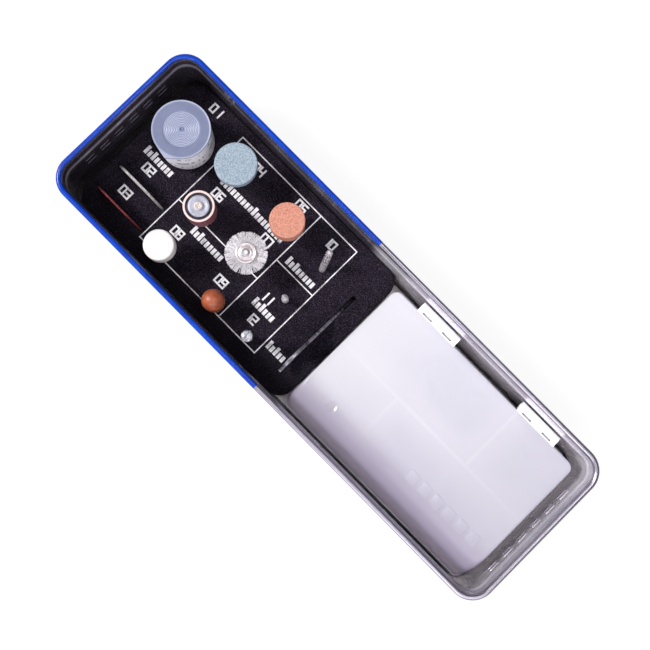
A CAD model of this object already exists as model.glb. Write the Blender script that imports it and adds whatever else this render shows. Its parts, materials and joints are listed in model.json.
"""Looks of an open accessory tin for a rotary tool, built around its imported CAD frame."""

import json
import random
from math import acos, asin, atan2, ceil, cos, hypot, pi, radians, sin, sqrt, tan

import bmesh
import bpy
from mathutils import Euler, Matrix, Vector, noise
from mathutils.geometry import delaunay_2d_cdt


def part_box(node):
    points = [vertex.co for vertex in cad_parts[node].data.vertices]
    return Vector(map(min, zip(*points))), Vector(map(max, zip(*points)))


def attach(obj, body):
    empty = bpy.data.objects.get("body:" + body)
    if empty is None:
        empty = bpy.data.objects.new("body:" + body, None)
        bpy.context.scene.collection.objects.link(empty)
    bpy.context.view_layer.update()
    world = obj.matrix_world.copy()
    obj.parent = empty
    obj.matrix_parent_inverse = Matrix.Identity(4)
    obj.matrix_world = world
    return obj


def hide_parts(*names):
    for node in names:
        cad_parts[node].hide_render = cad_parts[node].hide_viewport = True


MM = 0.001  # meshes are written in millimetres and stored in metres
SEED = 7
MERGE = 0.0002 * MM  # points nearer than this are one

# Camera, at the photograph's viewing angle
CAMERA_AT = (9.34, -26.17, 457.6)
CAMERA_TILT = (0.0606, 0.0228, 0.0067)  # radians about X, Y and Z
CAMERA_ROLL = 45  # degrees
CAMERA_LENS = 53.66

# Tin
RIM_R = 1.3
SHEET = 0.4
WALL_R = 8.4  # inner radius of the tin's corners
BEAD_DOWN = 9.8  # from the rim down to the middle of the bead
BEAD_IN = 0.6
BEAD_HALF = 2.75
SEAM_OUT = 0.8
SEAM_H = 2.4
PAINT_END_BACK = -8.3  # where the enamel stops on the +Y rim
PAINT_END_FRONT = -2.4  # where it stops on the -Y rim
WALL_WAVE = 0.03

# Foam
FOAM_CORNER = 8.0
FOAM_EDGE = 0.9
EDGE_STEPS = 4
FOAM_PITCH = 1.7  # between the points of its top
FOAM_SINK = 0.10
HOLE_LIP = 0.35
SHANK_R = 1.6
FIT_GAP = 0.08
LOOSE_GAP = 0.35
SNUG_GAP = 0.15
SLIT_WAVE = 0.12
HOLE_FLOOR = 2.0
SLIT_FLOOR = 1.6
CUTTER_START = 0.05

# Ripples in the top of the vial's cap
RIPPLE_FIRST = 1.35
RIPPLE_PITCH = 0.70
RIPPLE_COUNT = 9
RIPPLE_LAST = RIPPLE_FIRST + RIPPLE_PITCH * RIPPLE_COUNT
RIPPLE_DEEP = 0.09
CAP_GAP = 0.03  # between the cap's underside and the vial's rim

# Box
BOX_CORNER = 4.0
BOX_WALL = 1.2
LID_ROLL = 16.0
PARTING_FRONT = 20.7
PARTING_BACK = 31.2
DIMPLE_AT = (26.2, -23.6)
DIMPLE_R = 3.2
DIMPLE_DEEP = 0.6
TILE_RISE = 0.2  # in the CAD model
TILE_SHOWN = 0.09  # the worn tiles that show
DIVIDER_Y = -0.2
DIVIDER_BACK_X = 86.3
DIVIDER_FRONT_X = 44.7
BOX_BACK_Y = 33.6
LID_SHADES = (  # axis, where the shade starts and is full, its share and its colour
    ("Y", 10, -22, 0.45, (0.44, 0.42, 0.505)),
    ("X", 60, 12, 0.65, (0.63, 0.625, 0.66)),
    ("X", 60, 118, 0.55, (0.43, 0.42, 0.485)),
    ("Y", -15, -30, 0.8, (0.30, 0.262, 0.355)),
    ("Y", -32.5, -37, 1.0, (0.97, 0.87, 0.96)),
)


# ---- Places in the frame ----


class Place:
    """The box of a CAD node at rest, in millimetres."""

    def __init__(self, node):
        low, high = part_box(node)
        self.x0, self.y0, self.z0 = (c / MM for c in low)
        self.x1, self.y1, self.z1 = (c / MM for c in high)
        self.x = (self.x0 + self.x1) / 2
        self.y = (self.y0 + self.y1) / 2
        self.r = (self.x1 - self.x0) / 2


# ---- Mesh code ----


def add_object(name, data):
    piece = bpy.data.objects.new(name, data)
    bpy.context.scene.collection.objects.link(piece)
    return piece


def add_mesh(name, points, faces, sharp=38, material_of=None, uvs=None):
    """An object from points in millimetres. Edges that turn more than sharp degrees stay crisp.

    Double points are joined, empty faces dropped and the normals turned outwards.
    """
    mesh = bpy.data.meshes.new(name)
    mesh.from_pydata([[c * MM for c in p] for p in points], [], faces)
    if uvs is not None:
        layer = mesh.uv_layers.new(name="label")
        for loop in mesh.loops:
            layer.data[loop.index].uv = uvs[loop.vertex_index]
    if material_of is not None:
        for face, slot in zip(mesh.polygons, material_of):
            face.material_index = slot
    bm = bmesh.new()
    bm.from_mesh(mesh)
    bmesh.ops.remove_doubles(bm, verts=bm.verts, dist=MERGE)
    bmesh.ops.dissolve_degenerate(bm, edges=bm.edges, dist=MERGE)
    bmesh.ops.recalc_face_normals(bm, faces=bm.faces)
    bm.to_mesh(mesh)
    bm.free()
    mesh.shade_smooth()
    mesh.set_sharp_from_angle(angle=radians(sharp))
    return add_object(name, mesh)


def finish_piece(piece, body, node, *materials, replace=True):
    """Gives a piece its materials, the body that it rides on and the CAD node that it stands for."""
    for m in materials:
        piece.data.materials.append(m)
    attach(piece, body)
    if replace:
        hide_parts(node)
    return piece


def circle(steps):
    """Angles all round, in equal steps."""
    return [2 * pi * k / steps for k in range(steps)]


def quarter(steps):
    """Angles from 0 to 90 degrees, both included."""
    return [pi / 2 * k / steps for k in range(steps + 1)]


def ring(points, loop, z):
    """Adds a loop of (x, y) at a height to a mesh's points and gives the loop's numbers."""
    start = len(points)
    points.extend((x, y, z) for x, y in loop)
    return list(range(start, len(points)))


def sheet(columns, rows, wrap=True, closed=True, first=0):
    """Quads over points stored column by column. wrap joins the last column to the first one."""
    faces = []
    for i in range(columns if wrap else columns - 1):
        a, b = first + i * rows, first + (i + 1) % columns * rows
        for k in range(rows if closed else rows - 1):
            m = (k + 1) % rows
            faces.append((a + k, b + k, b + m, a + m))
    return faces


def tube(rings, sides, first=0):
    """Faces of a bar whose points are stored ring by ring, with both ends closed."""
    last = first + (rings - 1) * sides
    ends = [tuple(reversed(range(first, first + sides))), tuple(range(last, last + sides))]
    return sheet(rings, sides, False, True, first) + ends


def softened(corners, steps=4):
    """Rounds the corners of an outline given as (u, v, corner radius) with arcs."""
    outline = []
    count = len(corners)
    for i, (u, v, r) in enumerate(corners):
        p = Vector((u, v))
        back = Vector(corners[i - 1][:2]) - p
        ahead = Vector(corners[(i + 1) % count][:2]) - p
        half = back.angle(ahead) / 2
        sweep = pi - 2 * half
        if r <= 0 or sweep < 0.02:
            outline.append((u, v))
            continue
        reach = min(r / tan(half), 0.49 * back.length, 0.49 * ahead.length)
        to_centre = back.normalized() + ahead.normalized()
        centre = p + to_centre.normalized() * (reach / cos(half))
        start = p + back.normalized() * reach - centre
        end = p + ahead.normalized() * reach - centre
        for k in range(steps + 1):
            t = k / steps
            q = centre + (start * sin((1 - t) * sweep) + end * sin(t * sweep)) / sin(sweep)
            outline.append((q.x, q.y))
    return outline


def finer(outline, step, closed=True):
    """Splits the long sides of an outline."""
    result = []
    last = len(outline) if closed else len(outline) - 1
    for i in range(last):
        a = Vector(outline[i])
        b = Vector(outline[(i + 1) % len(outline)])
        parts = max(1, ceil((b - a).length / step))
        result += [tuple(a.lerp(b, k / parts)) for k in range(parts)]
    if not closed:
        result.append(outline[-1])
    return result


def turned(name, outline, at, steps=96, warp=None, matrix=Matrix(), material_by=None, sharp=38):
    """Spins an outline of (radius, height) round an upright axis. One that starts on the axis stays open."""
    closed = outline[0][0] > 1e-6
    rows = len(outline)
    points = []
    for a in circle(steps):
        for r, z in outline:
            p = Vector((r * cos(a), r * sin(a), z))
            if warp is not None and r > 1e-6:
                p = warp(p, r)
            p = matrix @ p
            points.append((p.x + at[0], p.y + at[1], p.z))
    slots = None
    if material_by is not None:
        spans = range(rows if closed else rows - 1)
        slots = [material_by(outline[k], outline[(k + 1) % rows]) for k in spans] * steps
    return add_mesh(name, points, sheet(steps, rows, True, closed), sharp, slots)


def rough(depth, size, seed=0):
    """A warp that sinks a turned surface by grain up to depth deep, of the given size."""
    shift = Vector((seed * 3.1, seed * 5.7, seed * 1.3))

    def warp(p, r):
        n = 0.5 + 0.5 * noise.noise(p / size + shift)
        n = 0.7 * n + 0.3 * (0.5 + 0.5 * noise.noise(p * 2.3 / size + shift))
        inward = Vector((-p.x, -p.y, 0)).normalized()
        return p + inward * (depth * min(max(n, 0), 1))

    return warp


def spin(node, name, body, outline, steps, *materials, **how):
    """A turned piece round a CAD node's axis, which stands for that node."""
    at = Place(node)
    return finish_piece(turned(name, outline, (at.x, at.y), steps, **how), body, node, *materials)


def apply(piece, kind, **settings):
    """Adds a modifier to a piece and applies it."""
    modifier = piece.modifiers.new("shape", kind)
    for key, value in settings.items():
        setattr(modifier, key, value)
    with bpy.context.temp_override(object=piece, active_object=piece):
        bpy.ops.object.modifier_apply(modifier=modifier.name)


def copy_of(node, name, edge, keep=()):
    """A new piece with a CAD node's shape and rounded edges.

    keep holds (point, normal) planes: what lies on a plane's normal side is kept.
    """
    bm = bmesh.new()
    bm.from_mesh(frame["nodes"][node].data)
    bmesh.ops.remove_doubles(bm, verts=bm.verts, dist=0.001 * MM)
    for point, normal in keep:
        everything = bm.verts[:] + bm.edges[:] + bm.faces[:]
        place = {"plane_co": Vector(point) * MM, "plane_no": normal}
        cut = bmesh.ops.bisect_plane(bm, geom=everything, clear_inner=True, **place)
        rim = [g for g in cut["geom_cut"] if isinstance(g, bmesh.types.BMEdge)]
        bmesh.ops.holes_fill(bm, edges=rim)
    bmesh.ops.dissolve_limit(bm, angle_limit=radians(0.6), verts=bm.verts, edges=bm.edges)
    bmesh.ops.recalc_face_normals(bm, faces=bm.faces)
    mesh = bpy.data.meshes.new(name)
    bm.to_mesh(mesh)
    bm.free()
    piece = add_object(name, mesh)
    limit = {"limit_method": "ANGLE", "angle_limit": radians(32), "use_clamp_overlap": True}
    apply(piece, "BEVEL", width=edge * MM, segments=2, harden_normals=False, **limit)
    mesh.shade_smooth()
    mesh.set_sharp_from_angle(angle=radians(40))
    return piece


# ---- Materials ----


class Paint:
    """A material: one Principled shader, and short ways to feed it from procedural textures."""

    def __init__(self, name, **values):
        self.material = bpy.data.materials.new(name)
        self.material.use_nodes = True
        self.tree = self.material.node_tree
        self.shader = next(n for n in self.tree.nodes if n.type == "BSDF_PRINCIPLED")
        self.coords = self.node("ShaderNodeTexCoord", {}, "Object")
        for key, value in values.items():
            self.feed(key.replace("_", " "), value)

    def node(self, kind, sockets, output=0, **settings):
        """Adds a shader node, fills its sockets with values or links, and gives one of its outputs."""
        node = self.tree.nodes.new(kind)
        for key, value in settings.items():
            setattr(node, key, value)
        for key, value in sockets.items():
            self.join(value, node.inputs[key])
        return node.outputs[output]

    def join(self, value, socket):
        if isinstance(value, bpy.types.NodeSocket):
            self.tree.links.new(value, socket)
        elif value is not None:
            socket.default_value = (*value, 1) if socket.type == "RGBA" else value

    def feed(self, socket, value):
        self.join(value, self.shader.inputs[socket])

    def stretched(self, x, y, z):
        return self.node("ShaderNodeMapping", {"Vector": self.coords, "Scale": (x, y, z)})

    def grain(self, size, detail=3.0, roughness=0.55, distortion=0.0, coords=None):
        """Noise with features of the given size in millimetres."""
        sockets = {"Vector": coords or self.coords, "Scale": 1 / (size * MM), "Detail": detail}
        sockets |= {"Roughness": roughness, "Distortion": distortion}
        return self.node("ShaderNodeTexNoise", sockets, "Fac")

    def cells(self, size, output="Distance"):
        return self.node("ShaderNodeTexVoronoi", {"Vector": self.coords, "Scale": 1 / (size * MM)}, output)

    def levels(self, value, low, high, out_low=0.0, out_high=1.0):
        sockets = {"Value": value, "From Min": low, "From Max": high, "To Min": out_low, "To Max": out_high}
        return self.node("ShaderNodeMapRange", sockets, "Result", interpolation_type="SMOOTHSTEP")

    def gloss(self, texture, low, high):
        return self.levels(texture, 0.2, 0.8, low, high)

    def maths(self, operation, a, b=None):
        return self.node("ShaderNodeMath", {0: a, 1: b}, operation=operation)

    def times(self, a, b):
        return self.maths("MULTIPLY", a, b)

    def plus(self, a, b):
        return self.maths("ADD", a, b)

    def blend(self, share, a, b):
        """A colour between a and b."""
        return self.node("ShaderNodeMix", {"Factor": share, 6: a, 7: b}, 2, data_type="RGBA")

    def mix(self, texture, low, high, a, b, share=1.0):
        """A colour that goes from a towards b as a texture goes from low to high."""
        return self.blend(self.levels(texture, low, high, 0, share), a, b)

    def along(self, axis):
        """Place along an axis of the frame, in millimetres."""
        return self.times(self.node("ShaderNodeSeparateXYZ", {0: self.coords}, axis), 1 / MM)

    def axis_distance(self, x, y):
        """Distance in millimetres from an upright axis."""
        sockets = {"Vector": self.coords, "Location": (-x, -y, 0), "Scale": (1 / MM, 1 / MM, 0)}
        point = self.node("ShaderNodeMapping", sockets)
        return self.node("ShaderNodeVectorMath", {0: point}, "Value", operation="LENGTH")

    def done(self, colour, gloss, height=None, depth=0.0, strength=1.0):
        """The material, given its colour, its roughness and a bump of the given depth in millimetres."""
        self.feed("Base Color", colour)
        self.feed("Roughness", gloss)
        if height is not None:
            sockets = {"Strength": strength, "Distance": depth * MM, "Height": height}
            self.feed("Normal", self.node("ShaderNodeBump", sockets, "Normal"))
        return self.material


def enamel():
    """Glossy blue enamel on tinplate, with orange peel and a few fine scuffs."""
    p = Paint("blue_enamel", Coat_Weight=0.12, Coat_Roughness=0.15, Specular_IOR_Level=0.35, IOR=1.45)
    blue = p.mix(p.grain(14, 2), 0.3, 0.7, (0.001, 0.037, 0.37), (0.002, 0.054, 0.47))
    scuff = p.grain(1.6, 6, 0.7, 0.6, p.stretched(0.25, 1, 3))
    colour = p.mix(scuff, 0.70, 0.78, blue, (0.16, 0.32, 0.80))
    return p.done(colour, p.gloss(p.grain(3), 0.24, 0.36), p.grain(0.8, 2), 0.012)


def tinplate(name, outside=False):
    """Bare drawn tinplate: fine lines round the wall, faint spangle and handling marks."""
    p = Paint(name)
    lines = p.grain(4, 4, 0.6, 0, p.stretched(0.03, 0.03, 16))
    base = p.mix(p.grain(18, 4, 0.6), 0.3, 0.7, (0.74, 0.71, 0.78), (0.88, 0.86, 0.91))
    base = p.mix(lines, 0.35, 0.8, base, (0.56, 0.54, 0.60), 0.5)
    along, height = p.along("X"), p.along("Z")
    at_rim = p.levels(height, 41.0, 42.6)
    if outside:
        p.feed("Metallic", 0.95)
        base = p.blend(0.5, base, (0.30, 0.29, 0.32))
    else:
        lacquer = p.times(p.levels(along, -4, -12), p.levels(height, 42.2, 41.2))
        base = p.blend(lacquer, base, (0.085, 0.072, 0.098))
        lit = p.levels(p.along("Y"), 12, 38, 0.62, 0.46)
        p.feed("Metallic", p.maths("MAXIMUM", lit, p.times(at_rim, 0.97)))
        bead = p.times(p.levels(height, 34.6, 35.8), p.levels(height, 37.4, 36.2))
        worn = p.maths("MAXIMUM", p.levels(along, -12, -4, 0.2, 1), p.levels(along, -115, -122, 0, 0.8))
        shine = p.times(p.times(bead, worn), p.levels(lines, 0.3, 0.7, 0.35, 0.75))
        base = p.blend(shine, base, (0.80, 0.76, 0.86))
    base = p.blend(p.times(at_rim, 0.85), base, (0.30, 0.28, 0.34))
    colour = p.mix(height, 1.4, 0.7, base, (0.02, 0.015, 0.015))
    gloss = p.levels(p.plus(lines, p.times(p.cells(5, "Color"), 0.2)), 0.3, 0.9, 0.13, 0.32)
    return p.done(colour, p.plus(gloss, p.times(at_rim, 0.12)), lines, 0.006)


def floor_tinplate():
    """The tin's floor, lacquered a warm grey, with dirt in the channel round it."""
    p = Paint("floor_tinplate", Metallic=0.15)
    marks = p.grain(3, 6, 0.65, 0.4, p.stretched(1, 0.2, 1))
    base = p.mix(p.grain(22, 4), 0.3, 0.7, (0.70, 0.64, 0.62), (0.82, 0.77, 0.76))
    base = p.mix(marks, 0.55, 0.75, base, (0.40, 0.33, 0.31), 0.5)
    dirt = p.maths("MAXIMUM", p.levels(p.along("X"), -80, -110), p.levels(p.along("Z"), 1.1, 0.7))
    colour = p.blend(dirt, base, (0.02, 0.015, 0.015))
    return p.done(colour, p.levels(marks, 0.3, 0.8, 0.28, 0.5), marks, 0.02)


def foam_skin():
    """Dark cut foam: fine open cells, a violet cast and pale dust."""
    p = Paint("dark_foam", Sheen_Weight=0.02, Sheen_Roughness=0.6, Specular_IOR_Level=0.1)
    fine = p.grain(0.44, 3, 0.8)
    base = p.mix(p.grain(12, 4), 0.3, 0.7, (0.003, 0.002, 0.004), (0.008, 0.0055, 0.010))
    base = p.mix(fine, 0.50, 0.66, base, (0.072, 0.056, 0.092))
    base = p.mix(p.along("Y"), -22, -36, base, (0.004, 0.003, 0.005), 0.6)
    dust = p.times(p.levels(p.cells(1.3), 0.10, 0.05), p.levels(p.grain(4, 3), 0.54, 0.60))
    colour = p.blend(dust, base, (0.24, 0.22, 0.27))
    return p.done(colour, p.gloss(fine, 0.85, 1.0), p.plus(p.cells(0.40), p.times(fine, 1.2)), 0.20, 0.8)


def worn_ink():
    """White printed lines, rubbed through to the foam in places."""
    p = Paint("worn_white_ink", Specular_IOR_Level=0.3)
    rub = p.plus(p.times(p.grain(7, 3), 0.55), p.times(p.grain(0.45, 4, 0.7), 0.45))
    ink = p.mix(p.grain(1.2, 3), 0.3, 0.7, (0.66, 0.64, 0.68), (0.86, 0.85, 0.88))
    colour = p.mix(rub, 0.52, 0.64, ink, (0.06, 0.05, 0.065), 0.7)
    return p.done(colour, p.levels(rub, 0.3, 0.7, 0.7, 0.95), p.grain(0.4, 4), 0.05)


def cap_plastic(place):
    """Soft blue-grey polyethylene of the vial's cap, with moulding swirl."""
    p = Paint("cap_plastic", Subsurface_Weight=0.12, Subsurface_Scale=1 * MM, IOR=1.49)
    p.feed("Subsurface Radius", (0.8, 0.9, 1.0))
    swirl = p.grain(6, 4, 0.5, 1.2)
    reach = p.axis_distance(place.x, place.y)
    base = p.mix(swirl, 0.3, 0.7, (0.158, 0.182, 0.295), (0.172, 0.198, 0.315))
    turns = p.times(p.maths("SUBTRACT", reach, RIPPLE_FIRST), 2 * pi / RIPPLE_PITCH)
    within = p.times(p.levels(reach, 1.0, 1.4), p.levels(reach, RIPPLE_LAST + 0.2, RIPPLE_LAST))
    crests = p.times(p.levels(p.maths("COSINE", turns), -0.4, 1.0, 0.15, 0.55), within)
    base = p.blend(crests, base, (0.62, 0.66, 0.84))
    colour = p.mix(reach, place.r - 0.6, place.r + 0.3, base, (0.50, 0.54, 0.68), 0.6)
    gloss = p.maths("SUBTRACT", p.gloss(swirl, 0.40, 0.48), p.times(within, 0.20))
    return p.done(colour, gloss, p.grain(0.6, 3), 0.015)


def vial_plastic():
    """Clearer grey plastic of the vial."""
    p = Paint("vial_plastic", Transmission_Weight=0.55, IOR=1.49)
    drawn = p.grain(2.5, 3, 0.5, 0, p.stretched(1, 1, 0.1))
    colour = p.mix(drawn, 0.3, 0.7, (0.50, 0.52, 0.62), (0.66, 0.68, 0.76))
    return p.done(colour, p.gloss(drawn, 0.12, 0.26), drawn, 0.02)


def label_paper():
    """White paper with rows of tiny dashes that stand for print."""
    p = Paint("label_paper", Specular_IOR_Level=0.35)
    uv = p.node("ShaderNodeUVMap", {}, uv_map="label")
    across, up = (p.node("ShaderNodeSeparateXYZ", {0: uv}, axis) for axis in "XY")
    rows = p.times(up, 3)
    within = p.maths("FRACT", rows)
    spot = {"X": p.times(across, 44), "Y": p.times(p.maths("FLOOR", rows), 7.31)}
    point = p.node("ShaderNodeCombineXYZ", spot)
    dash = p.node("ShaderNodeTexNoise", {"Vector": point, "Scale": 1, "Detail": 1}, "Fac")
    band = p.times(p.levels(within, 0.30, 0.36), p.levels(within, 0.72, 0.66))
    ink = p.times(band, p.levels(dash, 0.52, 0.56))
    fibre = p.grain(0.35, 5, 0.7)
    paper = p.mix(fibre, 0.3, 0.8, (0.92, 0.92, 0.98), (0.97, 0.97, 1.0))
    colour = p.blend(p.times(ink, 0.65), paper, (0.16, 0.15, 0.22))
    return p.done(colour, p.gloss(fibre, 0.6, 0.8), fibre, 0.02)


def stone_grit(name, dark, middle, light, pore):
    """Bonded abrasive grains in three shades, with open pores."""
    p = Paint(name, Specular_IOR_Level=0.3)
    fine = p.grain(0.3, 4, 0.75)
    base = p.mix(p.cells(0.38, "Color"), 0.15, 0.75, dark, middle)
    base = p.mix(fine, 0.5, 0.75, base, light)
    colour = p.mix(p.grain(0.7, 4, 0.75), 0.43, 0.30, base, pore, 0.8)
    return p.done(colour, p.gloss(fine, 0.78, 1.0), p.plus(p.cells(0.38), fine), 0.14, 0.7)


def sanding_grit():
    """Red-brown aluminium oxide grains on the band's outer face."""
    p = Paint("sanding_grit", Specular_IOR_Level=0.6)
    tone = p.cells(0.8, "Color")
    base = p.mix(tone, 0.2, 0.8, (0.08, 0.014, 0.022), (0.30, 0.07, 0.085))
    colour = p.mix(p.grain(0.8, 4, 0.75), 0.54, 0.66, base, (0.66, 0.40, 0.41))
    return p.done(colour, p.levels(tone, 0.1, 0.9, 0.4, 0.85), p.cells(0.45), 0.25, 0.9)


def band_paper():
    """Pinkish backing paper at the band's cut edge."""
    p = Paint("band_paper", Specular_IOR_Level=0.3)
    fibre = p.grain(0.4, 5, 0.7)
    colour = p.mix(fibre, 0.3, 0.7, (0.72, 0.50, 0.47), (0.90, 0.76, 0.73))
    return p.done(colour, p.gloss(fibre, 0.7, 0.95), fibre, 0.08)


def dark_rubber():
    """Dark moulded rubber with a dusty bloom."""
    p = Paint("dark_rubber", Specular_IOR_Level=0.4)
    bloom = p.grain(1.6, 5, 0.65)
    colour = p.mix(bloom, 0.35, 0.75, (0.020, 0.018, 0.026), (0.085, 0.078, 0.11))
    return p.done(colour, p.gloss(bloom, 0.45, 0.7), p.grain(0.3, 3), 0.03)


def spun_metal(name, low, high, node, gloss, metallic, pitch):
    """Metal turned about a node's upright axis: fine rings, with tone and gloss that vary."""
    p = Paint(name, Metallic=metallic)
    place = Place(node)
    reach = p.plus(p.axis_distance(place.x, place.y), p.grain(2, 2))
    rings = p.maths("SINE", p.times(reach, 2 * pi / pitch))
    cloud = p.grain(1.8, 5, 0.65)
    shine = p.gloss(p.plus(cloud, p.times(rings, 0.12)), *gloss)
    return p.done(p.mix(cloud, 0.3, 0.75, low, high), shine, rings, 0.02, 0.5)


def ground_steel(name, low, high, fine, metallic):
    """Ground steel with lines across its length and small stains."""
    p = Paint(name, Metallic=metallic)
    lines = p.grain(1.5, 4, 0.6, 0, p.stretched(0.2, 0.2, 6 * fine))
    stain = p.grain(3.5, 5, 0.7)
    colour = p.mix(stain, 0.60, 0.78, p.mix(lines, 0.3, 0.7, low, high), (0.22, 0.20, 0.20), 0.6)
    gloss = p.levels(p.plus(lines, p.times(stain, 0.4)), 0.3, 1.0, 0.16, 0.40)
    return p.done(colour, gloss, lines, 0.01)


def wire_metal():
    """Drawn wire, each bristle a little lighter or darker than the next."""
    p = Paint("drawn_wire", Metallic=0.5)
    tone = p.grain(0.7, 3, 0.8)
    colour = p.mix(tone, 0.3, 0.7, (0.55, 0.52, 0.56), (0.95, 0.93, 0.96))
    return p.done(colour, p.gloss(tone, 0.24, 0.5), p.grain(0.2, 2), 0.01)


def pressed_felt():
    """Dense white felt with matted fibres."""
    p = Paint("pressed_felt", Sheen_Weight=0.3, Sheen_Roughness=0.5, Specular_IOR_Level=0.2)
    fibre = p.grain(0.6, 6, 0.75, 1.5)
    base = p.mix(p.grain(4, 3), 0.3, 0.7, (0.73, 0.705, 0.695), (0.83, 0.81, 0.80))
    colour = p.blend(p.levels(fibre, 0.25, 0.45, 0.5, 0), base, (0.62, 0.59, 0.58))
    return p.done(colour, p.gloss(fibre, 0.88, 1.0), fibre, 0.22, 0.6)


def polishing_rubber():
    """Copper-brown abrasive rubber, smooth, with fine filler."""
    p = Paint("polishing_rubber", IOR=1.5)
    filler = p.grain(0.35, 5, 0.75)
    base = p.mix(p.grain(4, 4), 0.3, 0.7, (0.30, 0.070, 0.030), (0.46, 0.125, 0.055))
    colour = p.mix(filler, 0.58, 0.75, base, (0.62, 0.26, 0.15), 0.7)
    return p.done(colour, p.gloss(filler, 0.28, 0.50), filler, 0.05, 0.6)


def disc_grit(name, dark, middle, light):
    """Pressed abrasive disc with fibre weave and broken edges."""
    p = Paint(name, Specular_IOR_Level=0.35)
    sockets = {"Vector": p.coords, "Scale": 320, "Distortion": 2.5}
    weave = p.node("ShaderNodeTexWave", sockets, "Fac", wave_type="BANDS", bands_direction="DIAGONAL")
    fine = p.grain(0.5, 5, 0.75)
    colour = p.mix(fine, 0.52, 0.74, p.mix(p.cells(0.4, "Color"), 0.2, 0.8, dark, middle), light)
    return p.done(colour, p.gloss(fine, 0.75, 1.0), p.plus(fine, p.times(weave, 0.5)), 0.2, 0.8)


def divider_glow(p, near, far, gain):
    """How near a point of the lid is to a divider below it, as a share that fades from near to far."""
    x, y = p.along("X"), p.along("Y")

    def close(place, line):
        return p.levels(p.maths("ABSOLUTE", p.maths("SUBTRACT", place, line)), far, near)

    back = p.times(close(x, DIVIDER_BACK_X), p.levels(y, DIVIDER_Y - 0.3, DIVIDER_Y + 0.3))
    front = p.times(close(x, DIVIDER_FRONT_X), p.levels(y, DIVIDER_Y + 0.3, DIVIDER_Y - 0.3))
    return p.times(p.maths("MAXIMUM", close(y, DIVIDER_Y), p.maths("MAXIMUM", back, front)), gain)


def milky_plastic(name, low, high, alpha=1.0, scale=1.5, floor_shade=None, lid=False):
    """Translucent polypropylene: cloudy, soft gloss, faint flow lines. What lies below shows a little."""
    p = Paint(name, Subsurface_Weight=0.2, Subsurface_Scale=scale * MM, IOR=1.49, Alpha=alpha)
    p.feed("Subsurface Radius", (1, 1, 1))
    cloud = p.grain(24, 4, 0.5, 0.8)
    flow = p.grain(5, 4, 0.55, 0, p.stretched(0.25, 1, 1))
    base = p.mix(flow, 0.55, 0.8, p.mix(cloud, 0.3, 0.7, low, high), high, 0.06)
    gloss = p.gloss(cloud, 0.28, 0.38)
    if lid:
        base = p.blend(divider_glow(p, 0.5, 15, 0.8), base, (0.575, 0.56, 0.615))
        base = p.blend(divider_glow(p, 0.2, 1.2, 0.45), base, (0.66, 0.645, 0.69))
        for axis, start, end, share, shade in LID_SHADES:
            base = p.mix(p.along(axis), start, end, base, shade, share)
        reach = p.axis_distance(*DIMPLE_AT)
        gloss = p.times(gloss, p.levels(reach, DIMPLE_R + 0.1, DIMPLE_R - 0.3, 1.0, 0.45))
    if floor_shade is not None:
        base = p.mix(p.along("Z"), 3.2, 2.4, base, floor_shade)
    return p.done(base, gloss, p.grain(0.5, 3), 0.006, 0.5)


def pale_floor():
    """The plain surface that the tin stands on, lit from below as a light table is."""
    p = Paint("pale_floor", Specular_IOR_Level=0.05, Emission_Color=(1.0, 1.0, 1.0), Emission_Strength=0.90)
    colour = p.blend(p.grain(40, 3), (0.12, 0.12, 0.123), (0.14, 0.14, 0.14))
    return p.done(colour, p.gloss(p.grain(12), 0.85, 0.95))


# ---- Camera, light and floor ----


def add_camera():
    data = bpy.data.cameras.new("camera")
    data.sensor_fit = "HORIZONTAL"
    data.sensor_width = 36
    data.lens = CAMERA_LENS
    data.clip_start = 0.01
    data.clip_end = 20
    camera = add_object("camera", data)
    turn = Euler(CAMERA_TILT, "XYZ").to_matrix().to_4x4()
    roll = Matrix.Rotation(radians(CAMERA_ROLL), 4, "Z")
    camera.matrix_world = Matrix.Translation(Vector(CAMERA_AT) * MM) @ turn @ roll
    bpy.context.scene.camera = camera


def add_light(name, at, size, power, colour=(1, 1, 1)):
    """A soft square light that faces the middle of the tin."""
    data = bpy.data.lights.new(name, "AREA")
    data.shape = "SQUARE"
    data.size = size
    data.energy = power
    data.color = colour
    lamp = add_object(name, data)
    lamp.location = at
    lamp.rotation_euler = (-Vector(at)).to_track_quat("-Z", "Y").to_euler()


def add_studio():
    """A strong light from the left end, near ones over the right end, a weak one beside, a faint sky."""
    add_light("key_light", (-2.45, -1.25, 2.80), 0.90, 145, (1.0, 0.99, 0.98))
    add_light("over_light", (0.07, 0.13, 0.95), 0.34, 2.1, (0.99, 0.97, 1.0))
    add_light("right_light", (0.44, -0.28, 0.50), 0.5, 2.2, (0.99, 0.97, 1.0))
    add_light("side_light", (0.30, -1.05, 0.62), 0.7, 6, (0.99, 0.95, 1.0))
    world = bpy.data.worlds.new("studio")
    world.use_nodes = True
    shade = world.node_tree.nodes["Background"]
    shade.inputs["Color"].default_value = (0.93, 0.90, 0.98, 1)
    shade.inputs["Strength"].default_value = 0.14
    bpy.context.scene.world = world
    bpy.context.scene.view_settings.view_transform = "Standard"


def add_floor():
    half = 3000
    steps = 12
    marks = [half * (2 * i / steps - 1) for i in range(steps + 1)]
    points = [(x, y, -0.05) for x in marks for y in marks]
    floor = add_mesh("floor", points, sheet(steps + 1, steps + 1, False, False))
    floor.data.materials.append(pale_floor())


# ---- Tin ----


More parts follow.
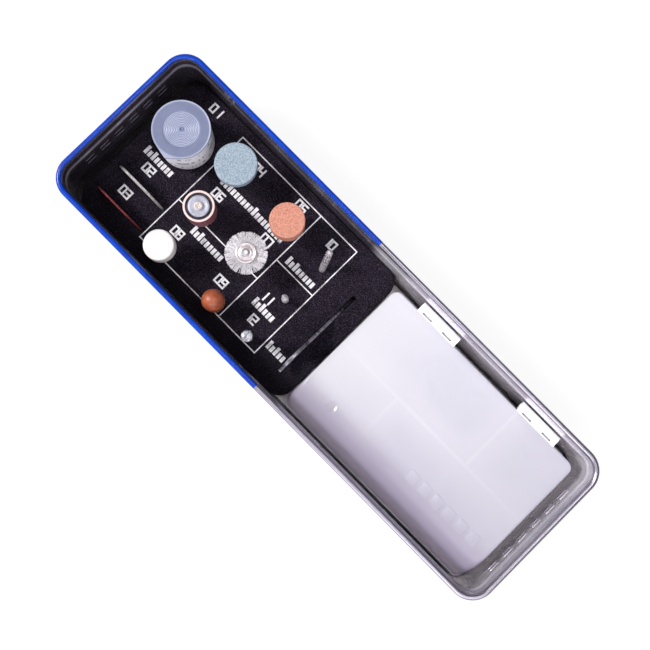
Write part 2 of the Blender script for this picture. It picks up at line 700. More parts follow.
def tin_outline(place):
    """The wall's section as (outward, height, is enamelled): inside up, round the curl, down to the seam."""
    rim_z = place.z1 - RIM_R
    out = WALL_R + SHEET
    foot = out + SEAM_OUT

    def bead(face, k):
        return face - BEAD_IN * cos(pi * k / 12) ** 2, place.z1 - BEAD_DOWN + BEAD_HALF * k / 6

    outline = [(WALL_R, z, False) for z in (0.0, 6.0, 14.0, 22.0)]
    outline += [(*bead(WALL_R, k), False) for k in range(-6, 7)]
    outline.append((WALL_R, rim_z - 1.6, False))
    for k in range(24):
        a = radians(180 - k * (180 + 133.8) / 23)
        painted = a < radians(158)
        outline.append((WALL_R + RIM_R + RIM_R * cos(a), rim_z + RIM_R * sin(a), painted))
    outline += [(*bead(out, k), True) for k in range(6, -7, -1)]
    outline += [(out, z, True) for z in (22.0, 14.0, 6.0, SEAM_H + 0.3)]
    outline += [(out + 0.12, SEAM_H + 0.05, True), (foot - 0.25, SEAM_H, True)]
    outline += [(foot - 0.06, SEAM_H - 0.12, True), (foot, SEAM_H - 0.4, True)]
    return outline + [(foot, 0.35, True), (foot - 0.12, 0.08, True), (foot - 0.4, 0.0, True)]


def tin_stations(place):
    """Places round the wall as (corner-centre x, y, direction)."""
    corner = WALL_R + 2 * RIM_R
    cx = place.x1 - corner
    cy = place.y1 - corner
    corner_steps = 14
    side_step = 9.0
    stations = []

    def side(x0, y0, x1, y1, angle, split=None):
        """A straight side, with a station where the paint ends, and the corner after it."""
        count = ceil(hypot(x1 - x0, y1 - y0) / side_step)
        marks = [k / count for k in range(count)]
        if split is not None:
            marks.append((split - x0) / (x1 - x0))
        for t in sorted(marks):
            x = x0 + t * (x1 - x0)
            if split is None or t == 0 or not 1e-6 < abs(x - split) < side_step / 3:
                stations.append((x, y0 + t * (y1 - y0), angle))
        for k in range(corner_steps):
            stations.append((x1, y1, angle + pi / 2 * k / corner_steps))

    side(cx, -cy, cx, cy, 0)
    side(cx, cy, -cx, cy, pi / 2, PAINT_END_BACK)
    side(-cx, cy, -cx, -cy, pi)
    side(-cx, -cy, cx, -cy, 1.5 * pi, PAINT_END_FRONT)
    return stations


def build_tin(enamel_material, tin_material, outer_material):
    place = Place("tin_wall")
    outline = tin_outline(place)
    stations = tin_stations(place)
    rows = len(outline)
    points = []
    slots = []
    for i, (x, y, a) in enumerate(stations):
        middle_x = (x + stations[(i + 1) % len(stations)][0]) / 2
        enamelled = middle_x < (PAINT_END_BACK if y > 0 else PAINT_END_FRONT)
        for k, (u, z, outside) in enumerate(outline):
            if 3.0 < z < place.z1 - 6:
                u += WALL_WAVE * noise.noise(Vector((x, y, z * 0.6)) / 17 + Vector((3, 1, 2)))
            points.append((x + cos(a) * u, y + sin(a) * u, z))
            after = outline[(k + 1) % rows]
            outer = outside and after[2]
            below_rim = max(outline[k][1], after[1]) < place.z1 - 2.5 * RIM_R
            slots.append(0 if outer and enamelled else 2 if outer and below_rim else 1)
    piece = add_mesh("tin_shell", points, sheet(len(stations), rows), 50, slots)
    return finish_piece(piece, "tin", "tin_wall", enamel_material, tin_material, outer_material)


def build_end_ribs(tin_material):
    """Plain pressed ribs with round ends, in pairs on both end walls."""
    place = Place("tin_wall")
    count, pitch, length, radius = 6, 8.8, 5.4, 0.26
    sides, caps = 12, 4
    axis = Vector((0, 1, 0))
    across = axis.orthogonal().normalized()
    other = axis.cross(across)
    half = axis * (length / 2 - radius)
    arc = quarter(caps)
    bends = [(t, -1) for t in arc] + [(t, 1) for t in reversed(arc)]
    points, faces = [], []
    for side in (-1, 1):
        for i in range(count):
            for drop in (16, 20.2):
                x = side * (place.x1 - 2 * RIM_R + 0.02)
                middle = Vector((x, (i - (count - 1) / 2) * pitch, place.z1 - drop))
                faces += sheet(len(bends), sides, False, True, len(points))
                for t, end in bends:
                    centre = middle + end * (half + axis * radius * cos(t))
                    for a in circle(sides):
                        points.append(centre + (across * cos(a) + other * sin(a)) * radius * sin(t))
    piece = add_mesh("tin_end_ribs", points, faces, 60)
    return finish_piece(piece, "tin", "tin_wall", tin_material, replace=False)


# ---- Foam ----


def circle_loop(x, y, r, steps, squash=1.0, turn=0.0):
    """Points round a hole, counter-clockwise. squash lengthens it along turn."""
    loop = []
    for a in circle(steps):
        spot = Matrix.Rotation(turn, 2) @ Vector((r * squash * cos(a), r * sin(a)))
        loop.append((x + spot.x, y + spot.y))
    return loop


def box_loop(x0, x1, y0, y1, r=0.3, step=1.5, wave=0.0, seed=0):
    """Points round a slit with soft corners. wave pushes its long sides outwards."""
    corners = [(x0, y0, r), (x1, y0, r), (x1, y1, r), (x0, y1, r)]
    loop = finer(softened(corners, 3 if r < 1 else 12), step)
    result = []
    for x, y in loop:
        push = wave * (0.5 + 0.5 * noise.noise(Vector((x * 0.16, y * 0.16, seed))))
        if x1 - x0 > y1 - y0:
            result.append((x, y + (push if y > (y0 + y1) / 2 else -push)))
        else:
            result.append((x + (push if x > (x0 + x1) / 2 else -push), y))
    return result


def grown(loop, distance):
    """A counter-clockwise loop moved outwards."""
    result = []
    count = len(loop)
    for i in range(count):
        before, after = Vector(loop[i - 1]), Vector(loop[(i + 1) % count])
        tangent = (after - before).normalized()
        result.append((loop[i][0] + tangent.y * distance, loop[i][1] - tangent.x * distance))
    return result


def inside(point, loop):
    """True if a point lies within a loop."""
    x, y = point
    hit = False
    for i in range(len(loop)):
        x0, y0 = loop[i - 1]
        x1, y1 = loop[i]
        if (y0 > y) != (y1 > y) and x < (x1 - x0) * (y - y0) / (y1 - y0) + x0:
            hit = not hit
    return hit


def foam_holes():
    """Each hole as (loop at the top face, floor height, sideways step of the floor)."""
    place = Place("foam_block")
    holes = []
    for node in SHANK_NODES:
        at = Place(node)
        holes.append((circle_loop(at.x, at.y, SHANK_R + FIT_GAP, 20), HOLE_FLOOR, (0, 0)))
    vial = Place("vial_body")
    holes.append((circle_loop(vial.x, vial.y, vial.r + LOOSE_GAP, 72), vial.z0 - 0.05, (0, 0)))
    foot, axis = cutter_axis()
    reach = (place.z1 - foot.z) / axis.z
    top = foot + axis * reach
    turn = atan2(axis.y, axis.x)
    step = ((HOLE_FLOOR - place.z1) * axis.x / axis.z, (HOLE_FLOOR - place.z1) * axis.y / axis.z)
    holes.append((circle_loop(top.x, top.y, SHANK_R + FIT_GAP, 20, 1 / axis.z, turn), HOLE_FLOOR, step))
    for seed, node in enumerate(("pale_disc", "brown_disc", "wrench")):
        at = Place(node)
        gap_x, gap_y = (SNUG_GAP, LOOSE_GAP) if node == "wrench" else (LOOSE_GAP, SNUG_GAP)
        sides = (at.x0 - gap_x, at.x1 + gap_x, at.y0 - gap_y, at.y1 + gap_y)
        holes.append((box_loop(*sides, wave=SLIT_WAVE, seed=seed), SLIT_FLOOR, (0, 0)))
    return holes


def build_foam(material):
    """A cut slab with soft edges, its holes and slits sunk into it, and a faintly uneven top."""
    place = Place("foam_block")
    top = place.z1
    points, faces = [], []
    bends = quarter(EDGE_STEPS)

    def stack(rings):
        """Adds walls between loops at their heights and a face over the first. Gives the last loop."""
        rows = [ring(points, loop, z) for loop, z in rings]
        for lower, upper in zip(rows, rows[1:]):
            for k in range(len(lower)):
                n = (k + 1) % len(lower)
                faces.append((lower[k], lower[n], upper[n], upper[k]))
        faces.append(tuple(rows[0]))
        return rows[-1]

    rim = box_loop(place.x0, place.x1, place.y0, place.y1, FOAM_CORNER, 2.5)
    rings = [(rim, z) for z in (place.z0, place.z0 + 5, place.z0 + 11, top - FOAM_EDGE)]
    for t in bends[1:]:
        rings.append((grown(rim, -FOAM_EDGE * (1 - cos(t))), top - FOAM_EDGE * (1 - sin(t))))
    loops = [stack(rings)]
    for loop, floor, step in foam_holes():
        rings = [([(x + step[0], y + step[1]) for x, y in loop], floor)]
        for t in reversed(bends):
            rings.append((grown(loop, HOLE_LIP * (1 - sin(t))), top - HOLE_LIP * (1 - cos(t))))
        loops.append(stack(rings))
    border, *cut_out = [[points[i][:2] for i in loop] for loop in loops]
    spots = []
    for i in range(int((place.x1 - place.x0) / FOAM_PITCH)):
        for j in range(int((place.y1 - place.y0) / FOAM_PITCH)):
            x = place.x0 + (i + 0.5 + 0.3 * rng.random()) * FOAM_PITCH
            y = place.y0 + (j + 0.5 + 0.3 * rng.random()) * FOAM_PITCH
            if inside((x, y), border) and not any(inside((x, y), grown(c, 0.4)) for c in cut_out):
                spots.append((x, y))
    known = [Vector(p) for loop in (border, *cut_out) for p in loop]
    rim_count = len(known)
    edges = []
    start = 0
    for loop in loops:
        edges += [(start + k, start + (k + 1) % len(loop)) for k in range(len(loop))]
        start += len(loop)
    verts, _, triangles, *_ = delaunay_2d_cdt(known + [Vector(s) for s in spots], edges, [], 0, 1e-6)
    start = len(points)
    for k, v in enumerate(verts):
        sink = FOAM_SINK * (0.5 + 0.5 * noise.noise(Vector((v.x, v.y, 0)) / 6)) if k >= rim_count else 0
        points.append((v.x, v.y, top - sink))
    for t in triangles:
        centre = sum((verts[i] for i in t), Vector((0, 0))) / 3
        if inside(centre, border) and not any(inside(centre, c) for c in cut_out):
            faces.append(tuple(start + i for i in t))
    piece = add_mesh("foam_pad", points, faces, 50)
    finish_piece(piece, "tin", "foam_block", material)
    return piece


# ---- Disc vial ----


def cap_outline_r(angle, radius, reach, tab_turn):
    """The cap's radius in a direction: round, drawn out into a short pull tab."""
    off = abs((angle - tab_turn + pi) % (2 * pi) - pi)
    spread = acos(radius / reach)
    if off >= spread:
        return radius
    tip = radius / cos(spread - off)
    return radius + (tip - radius) * (0.9 + 0.1 * off / spread)


def build_cap(material):
    cap = Place("vial_cap")
    vial = Place("vial_body")
    radius = vial.r + 0.5
    tab_turn = atan2(cap.y0 - vial.y + 0.4, 4.0)
    reach = radius + 1.75
    top = cap.z1
    under = vial.z1 + CAP_GAP
    tops = [(0.0, -0.55), (0.28, -0.50), (0.42, -0.16), (0.75, -0.08), (1.05, -0.14), (1.25, -0.34)]
    steps_each = 6
    for k in range(RIPPLE_COUNT * steps_each + 1):
        r = RIPPLE_FIRST + RIPPLE_PITCH * k / steps_each
        tops.append((r, -0.34 + RIPPLE_DEEP * cos(2 * pi * k / steps_each)))
    tops += [(7.85, -0.30), (8.05, -0.16), (8.3, -0.12), (9.5, -0.14), (11.0, -0.15), (11.9, -0.14)]
    free = 11.9
    lips = [(0.55, -0.10), (0.75, -0.02), (0.88, 0.0), (0.96, -0.06)]  # shares of the way to the edge
    lips += [(1.0, -0.22), (1.0, -1.2), (0.97, -1.42), (0.9, -1.5)]
    wall = vial.r - 1.0 - FIT_GAP
    inner = [(wall, under), (wall, cap.z0 + 0.25), (wall - 0.2, cap.z0), (wall - 0.7, cap.z0)]
    inner += [(wall - 0.9, cap.z0 + 0.25), (wall - 0.9, under + 0.35), (0.0, under + 0.35)]
    steps = 180
    points = []
    for a in circle(steps):
        edge = cap_outline_r(a, radius, reach, tab_turn)
        column = [(r, top + z) for r, z in tops]
        column += [(free + (edge - free) * share, top + z) for share, z in lips]
        points += [(vial.x + r * cos(a), vial.y + r * sin(a), z) for r, z in column + inner]
    piece = add_mesh("vial_cap_moulded", points, sheet(steps, len(points) // steps, True, False), 60)
    return finish_piece(piece, "vial_cap", "vial_cap", material)


def build_vial(material):
    at = Place("vial_body")
    wall, floor = 1.0, 1.15
    corners = [(0, at.z0, 0), (at.r, at.z0, 0.8), (at.r, at.z1, 0.25), (at.r - wall, at.z1, 0.25)]
    corners += [(at.r - wall, at.z0 + floor, 0.4), (0, at.z0 + floor, 0)]
    return spin("vial_body", "vial_tube", "vial", softened(corners), 96, material)


def build_label(material):
    """A paper strip round the vial, its ends overlapping, with a map for its print."""
    at = Place("vial_label")
    steps, rows = 120, 8
    points = []
    uvs = []
    for r in (at.r - 0.12, at.r):
        for i in range(steps + 1):
            a = 2 * pi * i / steps
            for k in range(rows + 1):
                v = k / rows
                z = at.z0 + (at.z1 - at.z0) * v
                points.append((at.x + r * cos(a), at.y + r * sin(a), z))
                uvs.append((i / steps, v))
    column = rows + 1
    half = (steps + 1) * column
    faces = sheet(steps + 1, column, False, False) + sheet(steps + 1, column, False, False, half)
    for low in range(0, steps * column, column):
        for edge in (low, low + rows):
            faces.append((edge, edge + column, half + edge + column, half + edge))
    piece = add_mesh("vial_paper_label", points, faces, 40, None, uvs)
    return finish_piece(piece, "vial", "vial_label", material)


# ---- Stones, drum, wheels ----


def build_stone(node, name, body, material, seed):
    at = Place(node)
    depth = 3.5
    corners = [(0, at.z1, 0), (at.r, at.z1, 0.5), (at.r, at.z0, 0.5)]
    corners += [(SHANK_R, at.z0, 0), (SHANK_R, at.z0 + depth, 0), (0, at.z0 + depth, 0)]
    outline = finer(softened(corners, 3), 0.4, closed=False)
    grain = rough(0.16, 0.45, seed)
    shift = Vector((seed, 2 * seed, 0))

    def warp(p, r):
        if r <= SHANK_R + 0.5 and p.z < at.z1 - 0.2:
            return p
        if p.z > at.z1 - 0.3:
            return p + Vector((0, 0, -0.14 * abs(noise.noise(p / 0.45 + shift))))
        return grain(p, r)

    return spin(node, name, body, outline, 150, material, warp=warp, sharp=80)


def build_drum(rubber, grit, paper, washer_metal):
    drum = Place("drum_rubber")
    bore = 1.48
    top = drum.z1
    corners = [(bore, drum.z0, 0), (drum.r, drum.z0, 0.4), (drum.r, top, 0.25), (5.75, top, 0.15)]
    corners += [(5.55, top - 0.5, 0.15), (5.1, top - 0.5, 0.15), (4.95, top, 0.1), (bore, top, 0)]
    spin("drum_rubber", "drum_rubber_core", "drum", softened(corners, 3), 96, rubber, sharp=50)

    band = Place("sanding_band")
    inner = drum.r + 0.06
    lip = inner - 0.42
    corners = [(inner, band.z0, 0), (band.r, band.z0, 0.1), (band.r, band.z1, 0.15), (lip, band.z1, 0.12)]
    corners += [(lip, top + 0.06, 0), (inner, top + 0.06, 0)]
    grains = rough(0.13, 0.4, 4)

    def warp(p, r):
        return grains(p, r) if r > band.r - 0.05 and p.z < band.z1 - 0.35 else p

    def slot_of(a, b):
        return 0 if a[0] > band.r - 0.05 and b[0] > band.r - 0.05 and a[1] < band.z1 - 0.3 else 1

    outline = finer(softened(corners, 3), 0.35)
    look = {"warp": warp, "material_by": slot_of, "sharp": 80}
    spin("sanding_band", "sanding_sleeve", "band", outline, 150, grit, paper, **look)

    at = Place("drum_washer")
    corners = [(bore, at.z0, 0), (at.r, at.z0, 0.1), (at.r, at.z1 - 0.1, 0.25), (3.9, at.z1, 0.3)]
    corners += [(2.6, at.z1 - 0.25, 0.3), (bore, at.z1 - 0.25, 0)]
    spin("drum_washer", "drum_dished_washer", "drum", softened(corners, 4), 96, washer_metal, sharp=50)


def build_drum_screw(material):
    """A low screw head with a shallow cross recess, and the bolt below it."""
    at = Place("drum_screw")
    bolt, head = 1.4, 1.2
    arm, reach, sink, soft = 0.3, 1.15, 0.4, 0.08
    turn = Matrix.Rotation(radians(-30), 2)
    outline = [(0.0, at.z1 - sink)] + [(0.1 * k, at.z1) for k in range(1, 14)]
    corners = [(1.4, at.z1, 0), (at.r, at.z1 - 0.5, 0.15), (at.r, at.z1 - head + 0.02, 0)]
    corners += [(bolt, at.z1 - head, 0), (bolt, at.z0, 0), (0.0, at.z0, 0)]

    def warp(p, r):
        if p.z < at.z1 - 0.01:
            return p
        u, v = (abs(c) for c in turn @ p.to_2d())
        edge = min(arm + soft - min(u, v), reach + soft - max(u, v)) / (2 * soft)
        return p - Vector((0, 0, sink * min(max(edge, 0), 1)))

    outline += softened(corners, 3)
    spin("drum_screw", "drum_cross_screw", "drum_bolt", outline, 120, material, warp=warp, sharp=50)


def build_bristles(material):
    """Single crimped wires from the hub to the rim of the wheel."""
    at = Place("brush_bristles")
    hub_r = 3.6
    middle = (at.z0 + at.z1) / 2
    wires, joints, sides = 900, 6, 4
    tufts = 70
    up = Vector((0, 0, 1))
    leans = [rng.uniform(-0.09, 0.09) for _ in range(tufts)]
    points, faces = [], []
    for w in range(wires):
        start_a = 2 * pi * (w % tufts + 0.45 * rng.gauss(0, 1)) / tufts
        tip_r = at.r - 0.02 - 0.45 * rng.random() ** 2
        lean = leans[w % tufts] + rng.uniform(-0.07, 0.07)
        level = rng.uniform(-1, 1)
        crimp = rng.uniform(0.06, 0.18)
        phase = rng.uniform(0, 6.28)
        thick = rng.uniform(0.05, 0.085)
        path = []
        for k in range(joints):
            t = k / (joints - 1)
            r = hub_r + (tip_r - hub_r - thick) * t
            a = start_a + lean * t * t + crimp / r * sin(phase + 9 * t)
            z = middle + level * (0.55 + 0.85 * t) + crimp * cos(phase + 8 * t)
            z = min(max(z, at.z0 + thick), at.z1 - thick)
            path.append(Vector((at.x + r * cos(a), at.y + r * sin(a), z)))
        faces += tube(joints, sides, len(points))
        for k, centre in enumerate(path):
            ahead = (path[min(k + 1, joints - 1)] - path[max(k - 1, 0)]).normalized()
            side = ahead.cross(up).normalized()
            for s in range(sides):
                b = 2 * pi * (s + 0.5) / sides
                points.append(centre + (side * cos(b) + up * sin(b)) * thick)
    piece = add_mesh("wheel_bristles", points, faces, 60)
    return finish_piece(piece, "brush", "brush_bristles", material)


def build_brush_hub(material):
    at = Place("brush_hub")
    inner = SHANK_R
    corners = [(inner, at.z0, 0), (2.6, at.z0, 0.3), (at.r, at.z0 + 1.5, 0.4), (at.r, at.z0 + 1.95, 0.2)]
    corners += [(3.2, at.z0 + 2.3, 0)]
    down = [(3.2, 1.5, 0), (at.r, 1.15, 0.2), (at.r, 0.35, 0.35), (4.0, 0.2, 0.3), (3.5, 0.75, 0.3)]
    down += [(2.9, 0.7, 0.3), (2.55, 0, 0.3), (1.95, 0, 0.2), (1.75, 0.25, 0.05), (inner, 0.25, 0)]
    corners += [(r, at.z1 - drop, bend) for r, drop, bend in down]
    spin("brush_hub", "wheel_hub_cups", "brush", softened(corners, 4), 96, material, sharp=60)


def build_felt(material):
    at = Place("felt_wheel")
    bore, depth = 0.9, 6.5
    top = at.z1
    corners = [(0, top, 0), (at.r * 0.8, top - 0.08, 1.2), (at.r, top - 0.35, 1.5), (at.r, at.z0, 1.2)]
    corners += [(bore, at.z0, 0), (bore, at.z0 + depth, 0), (0, at.z0 + depth, 0)]
    fuzz = rough(0.14, 1.1, 9)

    def warp(p, r):
        if r <= bore + 0.3 and p.z < top - 0.5:
            return p
        q = fuzz(p, r)
        if p.z > top - 0.5:
            q.z -= 0.10 * abs(noise.noise(p / 1.3))
        return q

    outline = finer(softened(corners, 5), 0.5, closed=False)
    spin("felt_wheel", "felt_bob", "felt", outline, 110, material, warp=warp, sharp=80)


def build_polisher(material):
    at = Place("polishing_point")
    dome = at.z1 - at.r
    outline = [(at.r * sin(t), dome + at.r * cos(t)) for t in quarter(20)]
    foot = [(at.r, at.z0, 0.4), (SHANK_R, at.z0, 0), (SHANK_R, at.z0 + 6, 0), (0, at.z0 + 6, 0)]
    outline = finer(outline + softened([(at.r, dome, 0)] + foot, 4)[1:], 0.8, closed=False)
    spin("polishing_point", "polishing_dome", "polisher", outline, 84, material, sharp=50)


def build_mandrel(washer_material, screw_material):
    at = Place("mandrel_washers")
    bore = 0.95
    middle = at.z0 + 0.8
    step = at.r - 0.15
    corners = [(bore, at.z0, 0), (at.r, at.z0, 0.15), (at.r, middle, 0.15)]
    corners += [(step, middle, 0), (step, at.z1, 0.12), (bore, at.z1, 0)]
    outline = softened(corners, 3)
    spin("mandrel_washers", "mandrel_rubbed_washers", "mandrel", outline, 64, washer_material, sharp=50)
    screw = copy_of("mandrel_screw", "mandrel_slotted_screw", 0.09)
    finish_piece(screw, "mandrel_bolt", "mandrel_screw", screw_material)


# ---- Twisted tools, discs and wrench ----


def twisted_bar(radius, length, flute_from, flutes, flute_depth, turns, tip, matrix):
    """Points and faces of a shank with twisted flutes. tip(left) is its radius's share near the top."""
    steps = 72
    fluted = length - flute_from
    count = 44
    levels = [0.0, 0.4, flute_from - 1.2, flute_from - 0.8]
    levels += [flute_from + fluted * k / count for k in range(count + 1)]
    points = []
    half = pi / flutes
    for z in levels:
        grow = min(max((z - flute_from) / 1.5, 0), 1)
        foot = radius - 0.35 if z == 0 else radius
        for a in circle(steps):
            local = a - 2 * pi * turns * max(z - flute_from, 0) / fluted
            off = abs((local + half) % (2 * half) - half) / half
            cut = flute_depth * grow * max(0.0, 1 - (off / 0.72) ** 2)
            r = (foot - cut) * tip(length - z)
            points.append(matrix @ Vector((r * cos(a), r * sin(a), z)))
    return points, tube(len(levels), steps)


def build_drill(material):
    at = Place("drill_bit")

    def tip(left):
        return min(1.0, max(left, 0.0) / 1.2 * 0.82 + 0.06)

    matrix = Matrix.Translation((at.x, at.y, at.z0))
    mesh = twisted_bar(at.r, at.z1 - at.z0, 13.5, 2, 0.85, 1.35, tip, matrix)
    finish_piece(add_mesh("drill_twist", *mesh, 42), "drill", "drill_bit", material)


def build_cutter(material):
    foot, axis = cutter_axis()
    length = 38.0
    turn = Vector((0, 0, 1)).rotation_difference(axis).to_matrix().to_4x4()
    matrix = Matrix.Translation(foot) @ turn @ Matrix.Translation((0, 0, CUTTER_START))

    def tip(left):
        depth = min(max(left, 0.02), SHANK_R)
        return sqrt(max(1 - (1 - depth / SHANK_R) ** 2, 0.01))

    mesh = twisted_bar(SHANK_R, length - CUTTER_START, 27.5, 8, 0.42, 0.45, tip, matrix)
    finish_piece(add_mesh("cutter_flutes", *mesh, 42), "cutter", "carving_cutter", material)


def build_edge_disc(node, name, body, material, seed):
    at = Place(node)
    radius = (at.z1 - at.z0) / 2
    half = (at.y1 - at.y0) / 2
    hole = 0.8
    corners = [(hole, -half, 0), (radius, -half, 0.2), (radius, half, 0.2), (hole, half, 0)]
    outline = finer(softened(corners, 2), 0.7)
    matrix = Matrix.Translation((0, 0, (at.z0 + at.z1) / 2)) @ Matrix.Rotation(pi / 2, 4, "X")
    shift = Vector((seed, seed, seed))

    def warp(p, r):
        if r > radius - 0.4:
            chip = 0.35 * max(0.0, noise.noise(p / 1.1 + shift)) + 0.1 * abs(noise.noise(p / 0.4 + shift))
            p = p - Vector((p.x, p.y, 0)).normalized() * chip
        p.z *= 1 - 0.10 * abs(noise.noise(p / 0.7 + shift))
        return p

    return spin(node, name, body, outline, 220, material, warp=warp, matrix=matrix, sharp=70)


# ---- Box ----


def lid_section(place, drop_y, drop_z):
    """Points of the lid's outer face in y and z, from the latch side over the roll to the hinge side."""
    roll_y, roll_z = place.y0 + LID_ROLL, place.z1 - LID_ROLL
    first = asin((PARTING_FRONT - roll_z) / LID_ROLL)
    section = []
    steps = 26
    for k in range(steps + 1):
        a = pi - first - (pi / 2 - first) * k / steps
        section.append((roll_y + LID_ROLL * cos(a), roll_z + LID_ROLL * sin(a)))
    back = BOX_BACK_Y
    edge = 1.0
    near = [DIMPLE_AT[1] + DIMPLE_R * 1.2 * (k / 9 - 1) for k in range(19)]
    ys = [y for y in near if y > roll_y] + [5.0 * k - 19 for k in range(10)] + [30.0]
    section += [(y, place.z1) for y in ys]
    for a in reversed(quarter(4)):
        section.append((back - edge + edge * cos(a), place.z1 - edge + edge * sin(a)))
    section.append((back, PARTING_BACK))
    middle = (place.y0 + back) / 2
    half = (back - place.y0) / 2
    shrink = (half - drop_y) / half
    result = []
    for y, z in section:
        new_y = middle + (y - middle) * shrink
        lowest = PARTING_FRONT + (PARTING_BACK - PARTING_FRONT) * (new_y - place.y0) / (2 * half)
        result.append((new_y, max(z - drop_z * (z - PARTING_FRONT) / (place.z1 - PARTING_FRONT), lowest)))
    return result


def lid_stations(place):
    """Places along the lid as (x, how far its sides draw in, how far its top drops)."""
    edge = 1.1
    stations = []
    for t in quarter(8):
        x = BOX_CORNER * (1 - cos(t))
        draw = BOX_CORNER * (1 - sin(t))
        near = max(edge - x, 0)
        drop = edge - sqrt(max(edge**2 - near**2, 0))
        stations.append((x, draw, drop))
    x0, x1 = place.x0, place.x1
    middle = [x0 + BOX_CORNER + k * 2.4 for k in range(1, int((x1 - x0 - 2 * BOX_CORNER) / 2.4))]
    middle = [x for x in middle if abs(x - DIMPLE_AT[0]) > DIMPLE_R * 1.3]
    middle += [DIMPLE_AT[0] + DIMPLE_R * 1.2 * (k / 9 - 1) for k in range(19)]
    left = [(x0 + x, draw, drop) for x, draw, drop in stations]
    right = [(x1 - x, draw, drop) for x, draw, drop in reversed(stations)]
    return left + [(x, 0, 0) for x in sorted(middle)] + right


def build_lid(material, tab_material, tile_material):
    place = Place("box_lid")
    place.z1 -= TILE_RISE
    points = []
    for x, draw, drop in lid_stations(place):
        for y, z in lid_section(place, draw, drop):
            off = hypot(x - DIMPLE_AT[0], y - DIMPLE_AT[1]) / DIMPLE_R
            dip = DIMPLE_DEEP * (1 - off**4) if off < 1 else 0
            points.append((x, y, z - dip))
    rows = len(lid_section(place, 0, 0))
    count = len(points) // rows
    faces = sheet(count, rows, False, False)
    faces += [tuple(reversed(range(rows))), tuple(range((count - 1) * rows, count * rows))]
    piece = add_mesh("lid_shell", points, faces, 50)
    apply(piece, "SOLIDIFY", thickness=BOX_WALL * MM, offset=-1, use_even_offset=True)
    finish_piece(piece, "lid", "box_lid", material)
    for k, pin in enumerate(("hinge_pin_left", "hinge_pin_right")):
        at = Place(pin)
        planes = [((0, BOX_BACK_Y - 0.6, 0), (0, 1, 0))]
        planes += [((at.x0 - 0.55, 0, 0), (1, 0, 0)), ((at.x1 + 0.55, 0, 0), (-1, 0, 0))]
        tab = copy_of("box_lid", f"lid_tab_{k + 1}", 0.12, planes)
        finish_piece(tab, "lid", "box_lid", tab_material, replace=False)
    return build_lid_marks(place, tile_material)


def build_lid_marks(place, material):
    """A row of plain raised tiles on the lid."""
    count, pitch, side = 6, 7.4, 5.6
    first_x, first_y = 71.0, -23.0
    points, faces = [], []
    for i in range(count):
        x0, y0 = first_x + i * pitch, first_y
        corners = [(x0, y0, 1), (x0 + side, y0, 1), (x0 + side, y0 + side, 1), (x0, y0 + side, 1)]
        loop = softened(corners, 4)
        faces += tube(4, len(loop), len(points))
        for grow_by, z in ((0, -0.15), (0, 0.01), (-0.1, TILE_SHOWN * 0.6), (-0.3, TILE_SHOWN)):
            ring(points, grown(loop, grow_by), place.z1 + z)
    piece = add_mesh("lid_tiles", points, faces, 40)
    return finish_piece(piece, "lid", "box_lid", material, replace=False)


# ---- All of it ----


def coat(material, *nodes):
    """Gives CAD nodes that stay a better material."""
    for node in nodes:
        piece = frame["nodes"][node]
        if not piece.material_slots:
            piece.data.materials.append(material)
        for slot in piece.material_slots:
            slot.material = material


def cutter_axis():
    """The foot of the leaning cutter and its direction, from its slide and its box."""
    joint = next(j for j in frame["joints"] if j["name"] == "cutter_pull")
    axis = Vector(joint["axis"]).normalized()
    at = Place("carving_cutter")
    x = at.x1 - SHANK_R * sqrt(1 - axis.x**2)
    y = at.y0 + SHANK_R * sqrt(1 - axis.y**2)
    z = at.z0 + SHANK_R * sqrt(1 - axis.z**2)
    return Vector((x, y, z)) - axis * CUTTER_START, axis


SHANK_NODES = ("green_shank", "orange_shank", "drum_shank", "brush_shank", "felt_mandrel")
SHANK_NODES += ("polishing_shank", "mandrel_body", "drill_bit")

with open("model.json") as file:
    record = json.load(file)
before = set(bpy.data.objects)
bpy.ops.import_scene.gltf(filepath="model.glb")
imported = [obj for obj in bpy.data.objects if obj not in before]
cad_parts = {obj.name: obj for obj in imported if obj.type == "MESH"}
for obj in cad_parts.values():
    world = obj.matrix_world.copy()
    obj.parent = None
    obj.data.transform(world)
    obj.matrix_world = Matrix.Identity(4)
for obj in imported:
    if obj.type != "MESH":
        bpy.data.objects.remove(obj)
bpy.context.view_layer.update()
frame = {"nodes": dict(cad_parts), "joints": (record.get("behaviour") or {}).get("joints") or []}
rng = random.Random(SEED)
add_camera()
add_studio()
add_floor()

tin_metal = tinplate("bare_tinplate")
build_tin(enamel(), tin_metal, tinplate("bare_tinplate_outside", outside=True))
build_end_ribs(tin_metal)
coat(floor_tinplate(), "tin_floor")
build_foam(foam_skin())
coat(worn_ink(), "foam_print")

build_vial(vial_plastic())
build_label(label_paper())
build_cap(cap_plastic(Place("vial_body")))
discs = disc_grit("cutoff_grit", (0.035, 0.022, 0.020), (0.10, 0.065, 0.055), (0.22, 0.16, 0.14))
coat(discs, "cutoff_discs")

shades = (0.19, 0.26, 0.32), (0.35, 0.43, 0.51), (0.64, 0.70, 0.77), (0.10, 0.16, 0.22)
build_stone("green_stone", "green_wheel", "green_point", stone_grit("green_grit", *shades), 1)
shades = (0.46, 0.17, 0.11), (0.64, 0.29, 0.21), (0.82, 0.54, 0.44), (0.30, 0.09, 0.06)
build_stone("orange_stone", "orange_wheel", "orange_point", stone_grit("orange_grit", *shades), 2)

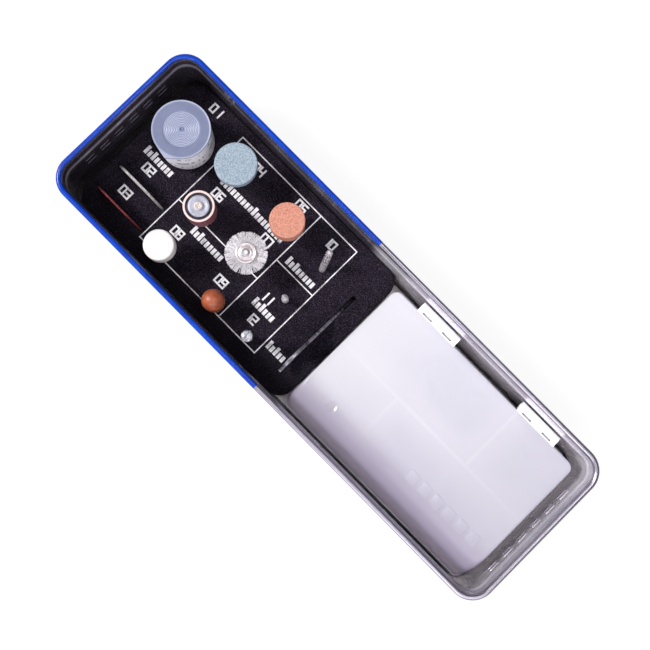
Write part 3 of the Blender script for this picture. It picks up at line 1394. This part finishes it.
coat(ground_steel("ground_steel", (0.52, 0.51, 0.53), (0.74, 0.73, 0.75), 0.5, 0.8), *SHANK_NODES[:-1])
shades = (0.37, 0.375, 0.45), (0.49, 0.495, 0.585)
zinc = spun_metal("zinc_washer", *shades, "drum_washer", (0.4, 0.55), 0.3, 0.22)
build_drum(dark_rubber(), sanding_grit(), band_paper(), zinc)
shades = (0.50, 0.44, 0.40), (0.82, 0.77, 0.73)
build_drum_screw(spun_metal("brass_screw", *shades, "drum_screw", (0.4, 0.55), 0.2, 0.3))
build_bristles(wire_metal())
shades = (0.62, 0.57, 0.57), (0.84, 0.79, 0.80)
build_brush_hub(spun_metal("hub_metal", *shades, "brush_hub", (0.28, 0.42), 0.8, 0.22))
build_felt(pressed_felt())
build_polisher(polishing_rubber())
washers = disc_grit("washer_grit", (0.06, 0.04, 0.035), (0.16, 0.11, 0.10), (0.30, 0.24, 0.22))
shades = (0.30, 0.30, 0.34), (0.50, 0.50, 0.54)
build_mandrel(washers, spun_metal("screw_metal", *shades, "mandrel_screw", (0.26, 0.42), 1.0, 0.3))

build_drill(ground_steel("drill_steel", (0.62, 0.59, 0.64), (0.95, 0.92, 0.97), 0.8, 0.5))
build_cutter(ground_steel("cutter_steel", (0.20, 0.17, 0.19), (0.95, 0.90, 0.95), 0.35, 0.5))
pale = disc_grit("pale_disc_grit", (0.28, 0.26, 0.27), (0.52, 0.50, 0.50), (0.80, 0.78, 0.78))
brown = disc_grit("brown_disc_grit", (0.09, 0.014, 0.017), (0.24, 0.045, 0.050), (0.42, 0.17, 0.17))
build_edge_disc("pale_disc", "pale_disc_wheel", "pale_cutting_disc", pale, 3)
build_edge_disc("brown_disc", "brown_disc_wheel", "brown_cutting_disc", brown, 5)
wrench_steel = ground_steel("wrench_steel", (0.13, 0.12, 0.15), (0.30, 0.28, 0.33), 0.3, 0.7)
finish_piece(copy_of("wrench", "stamped_wrench", 0.2), "flat_wrench", "wrench", wrench_steel)

floor_shade = (0.26, 0.24, 0.30)
box_plastic = milky_plastic("box_plastic", (0.60, 0.585, 0.65), (0.68, 0.665, 0.73), floor_shade=floor_shade)
lid_plastic = milky_plastic("lid_plastic", (0.50, 0.495, 0.565), (0.55, 0.545, 0.61), 0.95, lid=True)
hinge_plastic = milky_plastic("hinge_plastic", (0.90, 0.89, 0.94), (0.95, 0.94, 0.98), scale=1.0)
finish_piece(copy_of("box_base", "box_tray", 0.2), "box", "box_base", box_plastic)
tile_plastic = milky_plastic("tile_plastic", (0.55, 0.55, 0.625), (0.59, 0.59, 0.665), lid=True)
build_lid(lid_plastic, hinge_plastic, tile_plastic)
coat(hinge_plastic, "hinge_pin_left", "hinge_pin_right")
